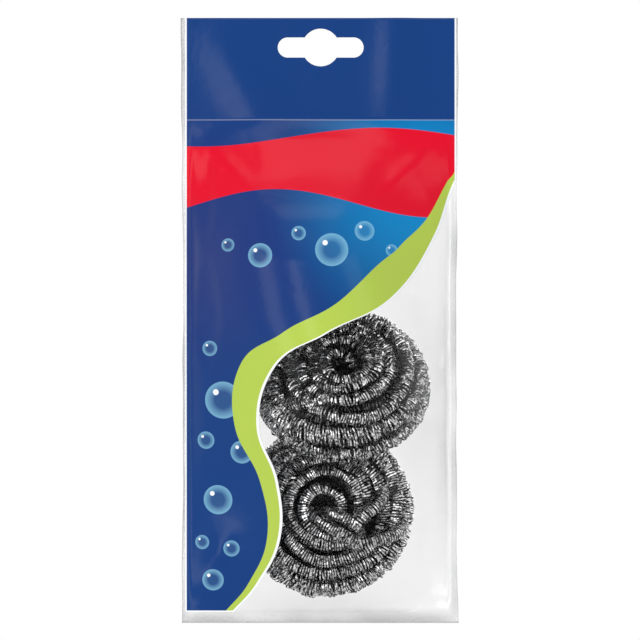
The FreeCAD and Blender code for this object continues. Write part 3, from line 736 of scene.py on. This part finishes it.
def place_marks(tree, shader, smooth, rubbed):
    """Puts the film's marks on a material's roughness and bump, and gives the mask of its milky welds and
    of the painted shade towards its edges.
    """
    marks = add_node(tree, "Group", node_tree=marks_group)
    tree.links.new(add_node(tree, "TexCoord").outputs["Object"], marks.inputs["Place"])
    dull = add_node(tree, "MapRange", {"Value": marks.outputs["Rub"], "To Min": smooth, "To Max": rubbed})
    tree.links.new(dull.outputs["Result"], shader.inputs["Roughness"])
    bump = add_node(tree, "Bump", {
        "Height": marks.outputs["Height"], "Strength": BUMP_STRENGTH, "Distance": BUMP_DEPTH,
    })
    tree.links.new(bump.outputs["Normal"], shader.inputs["Normal"])
    return marks.outputs["Weld"]


FACE_ON = 0.005
ASLANT = 0.7
ASLANT_BLEND = 0.5
ASLANT_POWER = 3.0
# How much the milky welds and the painted edge shade cloud the film.
WELD_AND_EDGE_SHADE_VEIL = 0.3


def film_veil(tree, weld, haze):
    """How much of the clear film shows: little face on, much where it is seen aslant, and a milky weld with
    painted shade towards the edges.
    """
    facing = add_node(tree, "LayerWeight", {"Blend": ASLANT_BLEND}).outputs["Facing"]
    glance = calc(tree, "MULTIPLY_ADD", calc(tree, "POWER", facing, ASLANT_POWER), ASLANT, FACE_ON + haze)
    return calc(tree, "MULTIPLY_ADD", weld, WELD_AND_EDGE_SHADE_VEIL, glance)


FILM_TONE = (0.45, 0.45, 0.46, 1)
CLEAR_SMOOTH = 0.08
CLEAR_RUBBED = 0.22


def clear_film(name, haze):
    """Clear film: it only mirrors a little of what is round it, and its welds are milky, with painted grey
    shade towards its edges.
    """
    material, tree, shader = new_material(name)
    weld = place_marks(tree, shader, CLEAR_SMOOTH, CLEAR_RUBBED)
    shader.inputs["Base Color"].default_value = FILM_TONE
    tree.links.new(film_veil(tree, weld, haze), shader.inputs["Alpha"])
    tree.links.new(calc(tree, "SUBTRACT", 1.0, weld, clamp=True), shader.inputs["Metallic"])
    return material


BACK_FOLDS = (
    (-0.046, -0.035, -0.022, -0.062, 0.0040, 0.0011),
    (0.046, -0.036, 0.020, -0.058, 0.0045, 0.0010),
    (-0.047, -0.120, -0.020, -0.106, 0.0032, 0.0009),
    (0.047, -0.114, 0.024, -0.104, 0.0034, 0.0008),
    (-0.044, -0.207, -0.022, -0.186, 0.0036, 0.0010),
    (0.045, -0.206, 0.026, -0.190, 0.0036, 0.0010),
)
# Each dent: its middle across and up the bag, its half width, half height and depth.
BACK_DENTS = (
    (-0.040, -0.085, 0.008, 0.020, 0.0010),
    (0.041, -0.090, 0.007, 0.018, 0.0009),
    (-0.038, -0.186, 0.009, 0.016, 0.0010),
)
BACK_SEED = 4.5
BACK_HAZE = 0.06

back = film_sheet(
    "back_sheet", "back_film", 1, BACK_FOLDS, BACK_DENTS, BACK_SEED,
    clear_film("clear_film", BACK_HAZE), clear_film("clear_film_inside", BACK_HAZE),
)
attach(back, "bag")
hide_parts("back_film")


# Front film
# The printed sheet: clear film with ink on its inner side, backed with white, and a clear window left
# at the lower right that shows the scrubbers. A narrow clear margin runs down both sides.

def as_light(step):
    """How much light a screen value from 0 to 1 stands for, by the sRGB formula."""
    return step / 12.92 if step < 0.04045 else ((step + 0.055) / 1.055) ** 2.4


def ink(red, green, blue):
    """A printed colour, given as it looks on screen from 0 to 255, as light."""
    return tuple(as_light(value / 255) for value in (red, green, blue)) + (1,)


NAVY = ink(8, 57, 122)
DUSK = ink(30, 48, 116)
GLOW = ink(0, 132, 196)
RED = ink(220, 0, 38)
LIME = ink(176, 200, 80)
FOAM = ink(150, 215, 240)
PAPER = ink(244, 246, 250)
INK_BACKING = ink(226, 229, 233)


def mixed(tree, share, first, second):
    """A blend of two colours, from a Mix node, whose colour sockets go by number."""
    return add_node(tree, "Mix", {0: share, 6: first, 7: second}, data_type="RGBA").outputs[2]


def mixed_out(tree, value, mask):
    """A value kept only where a mask is 0."""
    return calc(tree, "MULTIPLY", value, calc(tree, "SUBTRACT", 1.0, mask))


EDGE_SOFTNESS = 0.0001


def above(tree, value, limit):
    """1 where a value is over a limit, 0 where it is under, with a fine soft edge."""
    over = calc(tree, "SUBTRACT", value, limit)
    edge = {"Value": over, "From Min": -EDGE_SOFTNESS, "From Max": EDGE_SOFTNESS}
    return add_node(tree, "MapRange", edge).outputs["Result"]


def along_bag(tree, z, points, low, high):
    """A value that changes down the bag, from a smooth curve through (height, value) points."""
    share = add_node(tree, "MapRange", {"Value": z, "From Min": bag_low.z, "From Max": bag_high.z})
    curve = add_node(tree, "FloatCurve", {"Value": share.outputs["Result"]})
    line = curve.mapping.curves[0]
    while len(line.points) < len(points):
        line.points.new(0.5, 0.5)
    for point, (height, value) in zip(line.points, points):
        point.location = ((height - bag_low.z) / (bag_high.z - bag_low.z), (value - low) / (high - low))
    curve.mapping.update()
    spread = add_node(tree, "MapRange", {"Value": curve.outputs[0], "To Min": low, "To Max": high})
    return spread.outputs["Result"]


def wave(tree, x, middle, swing, length, start):
    """Height of a wavy line across the bag."""
    turn = calc(tree, "MULTIPLY_ADD", x, 2 * math.pi / length, start)
    return calc(tree, "MULTIPLY_ADD", calc(tree, "SINE", turn), swing, middle)


PRINT_HALF_WIDTH = 0.0499
PRINT_FOOT = -0.2097
WHITE_SPREAD = 0.0006
WHITE_LINE = 0.0010
# A thin painted highlight along the header weld: its half width and how much white it mixes in.
WELD_HIGHLIGHT_WIDTH = 0.00018
WELD_HIGHLIGHT_SHARE = 0.2
# The glow and the dusk on the blue ground: where each is strongest, and how far from there it reaches.
GLOW_PLACE = (0.040, -0.055)
GLOW_NEAR = 0.008
GLOW_FAR = 0.062
DUSK_PLACE = (-0.045, -0.075)
DUSK_FAR = 0.07
DUSK_SHARE = 0.8
# Left edge of the window: (height, place across) from the foot of the print up.
WINDOW_EDGE = (
    (-0.2143, -0.036), (-0.2097, -0.0317), (-0.1985, -0.0225), (-0.180, -0.0145), (-0.161, -0.0155),
    (-0.139, -0.0225), (-0.120, -0.0175), (-0.1065, 0.002), (-0.092, 0.028), (-0.070, 0.043),
    (-0.050, 0.0505), (-0.046, 0.0530), (0.011, 0.0530),
)
WINDOW_REACH = 0.06
# Width of the lime swoosh along that edge: (height, width), beyond its least width.
SWOOSH_WIDTH = (
    (-0.2143, 0.002), (-0.190, 0.003), (-0.150, 0.0065), (-0.120, 0.0115), (-0.1065, 0.0150),
    (-0.095, 0.0168), (-0.075, 0.0105), (-0.050, 0.002), (0.011, 0.0),
)
SWOOSH_MOST = 0.02
SWOOSH_LEAST = 0.0014
# Edges of the red ribbon: the middle height of each wavy line, its swing, its length and where it starts.
RIBBON_TOP = (-0.0335, 0.0035, 0.130, 0.5)
RIBBON_FOOT = (-0.0585, 0.0050, 0.115, 2.5)
# Bubbles: (place across, height, radius).
BUBBLES = (
    (-0.036, -0.131, 0.0068), (-0.0425, -0.146, 0.0032), (-0.029, -0.150, 0.0042), (-0.038, -0.168, 0.0054),
    (-0.044, -0.184, 0.0026), (-0.033, -0.186, 0.0030), (-0.040, -0.198, 0.0040), (-0.041, -0.112, 0.0028),
    (0.004, -0.076, 0.0060), (0.016, -0.069, 0.0036), (-0.008, -0.070, 0.0026), (-0.022, -0.078, 0.0044),
    (-0.034, -0.074, 0.0024), (0.026, -0.076, 0.0022),
)
BUBBLE_CLEAR_SHARE = 0.45
BUBBLE_MIDDLE = 0.06
BUBBLE_RIM = 0.55
GLINT_SHARE = 0.16
GLINT_ACROSS_SHARE = -0.4
GLINT_UP_SHARE = 0.42


def print_layout():
    """The print: where there is ink, and its colour. Waves and soap bubbles on a blue ground, and a painted
    highlight along the header weld.
    """
    group = bpy.data.node_groups.new("print_layout", "ShaderNodeTree")
    group.interface.new_socket("Place", in_out="INPUT", socket_type="NodeSocketVector")
    group.interface.new_socket("Ink", in_out="OUTPUT", socket_type="NodeSocketFloat")
    group.interface.new_socket("Colour", in_out="OUTPUT", socket_type="NodeSocketColor")
    place = group.nodes.new("NodeGroupInput").outputs["Place"]
    ends = group.nodes.new("NodeGroupOutput")
    axes = add_node(group, "SeparateXYZ", {0: place})
    x, z = axes.outputs["X"], axes.outputs["Z"]
    flat = add_node(group, "CombineXYZ", {"X": x, "Z": z}).outputs[0]

    def away_from(across, height):
        spot = {0: flat, 1: (across, 0, height)}
        return add_node(group, "VectorMath", spot, operation="DISTANCE").outputs["Value"]

    edge = along_bag(group, z, WINDOW_EDGE, -WINDOW_REACH, WINDOW_REACH)
    left_of_edge = calc(group, "SUBTRACT", edge, x)
    inside = calc(group, "SUBTRACT", PRINT_HALF_WIDTH, calc(group, "ABSOLUTE", x))
    inside = calc(group, "MINIMUM", inside, calc(group, "SUBTRACT", z, PRINT_FOOT))
    inked = calc(group, "MULTIPLY", above(group, left_of_edge, 0.0), above(group, inside, -WHITE_SPREAD))
    group.links.new(inked, ends.inputs["Ink"])

    glow = fading(group, away_from(*GLOW_PLACE), GLOW_NEAR, GLOW_FAR, 1.0)
    dusk = fading(group, away_from(*DUSK_PLACE), 0.0, DUSK_FAR, DUSK_SHARE)
    header = above(group, z, HEADER_FOOT)
    colour = mixed(group, mixed_out(group, glow, header), mixed(group, dusk, NAVY, DUSK), GLOW)
    under_top = above(group, wave(group, x, *RIBBON_TOP), z)
    ribbon = calc(group, "MULTIPLY", under_top, above(group, z, wave(group, x, *RIBBON_FOOT)))
    colour = mixed(group, ribbon, colour, RED)
    for across, height, radius in BUBBLES:
        away = away_from(across, height)
        shade = add_node(group, "MapRange", {
            "Value": away, "From Min": radius * BUBBLE_CLEAR_SHARE, "From Max": radius,
            "To Min": BUBBLE_MIDDLE, "To Max": BUBBLE_RIM,
        }).outputs["Result"]
        bubble = calc(group, "MULTIPLY", shade, above(group, radius, away))
        colour = mixed(group, bubble, colour, FOAM)
        from_glint = away_from(across + radius * GLINT_ACROSS_SHARE, height + radius * GLINT_UP_SHARE)
        colour = mixed(group, above(group, radius * GLINT_SHARE, from_glint), colour, PAPER)
    width = along_bag(group, z, SWOOSH_WIDTH, 0.0, SWOOSH_MOST)
    swoosh = above(group, calc(group, "ADD", width, SWOOSH_LEAST), left_of_edge)
    colour = mixed(group, swoosh, colour, LIME)
    colour = mixed(group, above(group, WHITE_LINE, left_of_edge), colour, PAPER)
    # A thin painted highlight along the header weld, white mixed into the print.
    from_weld = calc(group, "ABSOLUTE", calc(group, "SUBTRACT", z, HEADER_FOOT))
    weld_line_painted_highlight = calc(group, "MULTIPLY", above(group, WELD_HIGHLIGHT_WIDTH, from_weld), WELD_HIGHLIGHT_SHARE)
    colour = mixed(group, weld_line_painted_highlight, colour, PAPER)
    colour = mixed(group, above(group, inside, 0.0), PAPER, colour)
    group.links.new(colour, ends.inputs["Colour"])
    return group


layout_group = print_layout()
PRINT_SMOOTH = 0.14
PRINT_RUBBED = 0.3
PRINT_SPECULAR = 0.14


def printed_film(name, backing):
    """Film with ink: opaque where it is printed, clear in the window and the margins."""
    material, tree, shader = new_material(name)
    weld = place_marks(tree, shader, PRINT_SMOOTH, PRINT_RUBBED)
    layout = add_node(tree, "Group", node_tree=layout_group)
    tree.links.new(add_node(tree, "TexCoord").outputs["Object"], layout.inputs["Place"])
    inked = layout.outputs["Ink"]
    tree.links.new(calc(tree, "MAXIMUM", inked, film_veil(tree, weld, 0.0)), shader.inputs["Alpha"])
    solid = calc(tree, "MAXIMUM", inked, weld)
    tree.links.new(calc(tree, "SUBTRACT", 1.0, solid, clamp=True), shader.inputs["Metallic"])
    colour = mixed(tree, inked, FILM_TONE, backing or layout.outputs["Colour"])
    tree.links.new(colour, shader.inputs["Base Color"])
    shader.inputs["Specular IOR Level"].default_value = PRINT_SPECULAR
    return material


FRONT_FOLDS = (
    (-0.046, -0.034, -0.020, -0.060, 0.0040, 0.0010),
    (0.047, -0.034, 0.022, -0.056, 0.0042, 0.0010),
    (0.048, -0.108, 0.030, -0.101, 0.0030, 0.0009),
    (0.048, -0.122, 0.034, -0.112, 0.0028, 0.0008),
    (-0.047, -0.150, -0.022, -0.140, 0.0034, 0.0009),
    (0.047, -0.168, 0.032, -0.158, 0.0030, 0.0009),
    (-0.049, -0.207, -0.032, -0.176, 0.0042, 0.0016),
    (0.046, -0.206, 0.022, -0.188, 0.0036, 0.0011),
    (0.004, -0.210, 0.010, -0.196, 0.0030, 0.0008),
)
FRONT_DENTS = (
    (-0.0435, -0.055, 0.0050, 0.020, 0.0008),
    (-0.0425, -0.100, 0.0060, 0.022, 0.0010),
    (0.0425, -0.185, 0.0060, 0.014, 0.0010),
)
FRONT_SEED = 11.5

front = film_sheet(
    "front_sheet", "front_film", -1, FRONT_FOLDS, FRONT_DENTS, FRONT_SEED,
    printed_film("printed_film", None), printed_film("ink_backing", INK_BACKING),
)
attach(front, "bag")
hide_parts("front_film")


# Stage, light and camera
# The pack hangs above a pale floor, before plain white, and is seen straight on from the front. Soft lamps
# stand round it, and the film and the steel mirror the same white.

VIEW_MIDDLE = Vector((-0.00025, 0, -0.1015))
VIEW_DISTANCE = 1.2
VIEW_HEIGHT = 0.2384
SENSOR = 36.0

camera = bpy.data.cameras.new("camera")
camera.sensor_width = SENSOR
camera.lens = SENSOR * VIEW_DISTANCE / VIEW_HEIGHT
viewer = bpy.data.objects.new("camera", camera)
viewer.location = VIEW_MIDDLE + Vector((0, -VIEW_DISTANCE, 0))
viewer.rotation_euler = (math.pi / 2, 0, 0)
bpy.context.scene.collection.objects.link(viewer)
bpy.context.scene.camera = viewer


def softbox(name, place, width, height, watts):
    """A soft studio lamp that faces the pack."""
    lamp = bpy.data.lights.new(name, "AREA")
    lamp.shape = "RECTANGLE"
    lamp.size = width
    lamp.size_y = height
    lamp.energy = watts
    holder = bpy.data.objects.new(name, lamp)
    holder.location = place
    holder.rotation_euler = (VIEW_MIDDLE - Vector(place)).to_track_quat("-Z", "Y").to_euler()
    bpy.context.scene.collection.objects.link(holder)


# Each lamp: its place, width, height and watts.
LAMPS = {
    "strip_lamp": ((-0.34, -1.05, -0.06), 0.22, 0.8, 2.2),
    "key_lamp": ((-0.9, -0.7, -0.16), 0.35, 1.2, 4.0),
    "fill_lamp": ((0.85, -0.7, 0.1), 0.4, 0.9, 1.8),
    "top_lamp": ((0.0, -0.35, 0.75), 0.8, 0.4, 2.2),
    "back_lamp": ((0.4, 0.95, 0.35), 1.3, 1.0, 9.0),
}
for name, setting in LAMPS.items():
    softbox(name, *setting)

FLOOR_RADIUS = 0.85
FLOOR_HEIGHT = -0.5
FLOOR_SIDES = 96
FLOOR_TONE = (0.93, 0.93, 0.93, 1)
FLOOR_ROUGHNESS = 0.9

floor_mesh = bpy.data.meshes.new("floor")
floor_form = bmesh.new()
bmesh.ops.create_circle(floor_form, cap_ends=True, segments=FLOOR_SIDES, radius=FLOOR_RADIUS)
bmesh.ops.translate(floor_form, verts=floor_form.verts, vec=(0, 0, FLOOR_HEIGHT))
floor_form.to_mesh(floor_mesh)
floor_form.free()
floor = new_piece("floor", floor_mesh)
pale, _, pale_shader = new_material("pale_floor")
pale_shader.inputs["Base Color"].default_value = FLOOR_TONE
pale_shader.inputs["Roughness"].default_value = FLOOR_ROUGHNESS
floor_mesh.materials.append(pale)

SOFT_LIGHT = 0.56
SEEN_WHITE = 1.0

world = bpy.data.worlds.new("studio")
bpy.context.scene.world = world
world.use_nodes = True
sky = world.node_tree
backdrop = sky.nodes["Background"]
rays = add_node(sky, "LightPath").outputs
shown = calc(sky, "MAXIMUM", rays["Is Camera Ray"], rays["Is Glossy Ray"])
shown = calc(sky, "MAXIMUM", shown, rays["Is Transmission Ray"])
level = add_node(sky, "MapRange", {"Value": shown, "To Min": SOFT_LIGHT, "To Max": SEEN_WHITE})
backdrop.inputs["Color"].default_value = (1, 1, 1, 1)
sky.links.new(level.outputs["Result"], backdrop.inputs["Strength"])
bpy.context.scene.view_settings.view_transform = "Standard"
